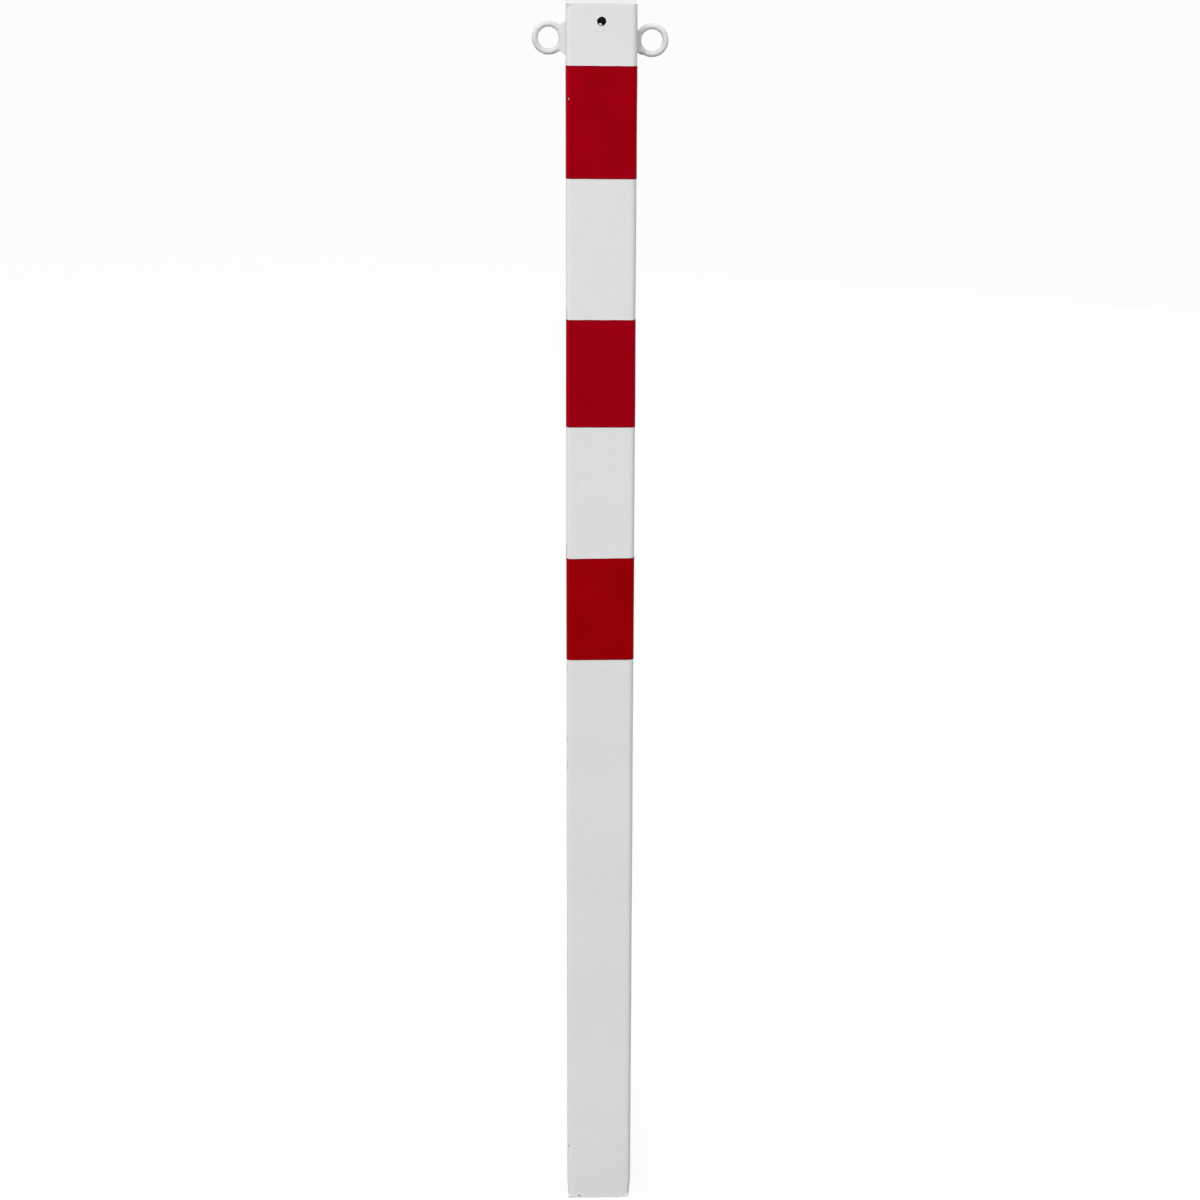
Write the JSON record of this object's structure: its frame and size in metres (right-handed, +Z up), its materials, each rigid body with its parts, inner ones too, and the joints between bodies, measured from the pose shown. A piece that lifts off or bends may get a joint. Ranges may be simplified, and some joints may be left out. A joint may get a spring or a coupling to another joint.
{
  "type": "barrier post",
  "caption": "Square steel barrier post with red bands, a welded lid and a chain eyelet on each side, for setting in concrete.",
  "frame": {"origin": "centre of the post's open lower end, on the plane that the end stands on", "axes": "+Z up along the post, -Y out of the front face with the vent hole, +X towards the right eyelet as seen from the front"},
  "size_m": [0.1353, 0.0709, 1.3],
  "materials": {
    "white_paint": "satin white coat on galvanised steel",
    "red_film": "smooth red reflective film"
  },
  "bodies": {
    "root": {"post_tube": "white_paint", "top_plate": "white_paint", "lid_weld": "white_paint", "eyelet_left": "white_paint", "eyelet_right": "white_paint", "weld_left": "white_paint", "weld_right": "white_paint", "red_band_top": "red_film", "red_band_middle": "red_film", "red_band_lower": "red_film"}
  },
  "joints": []
}
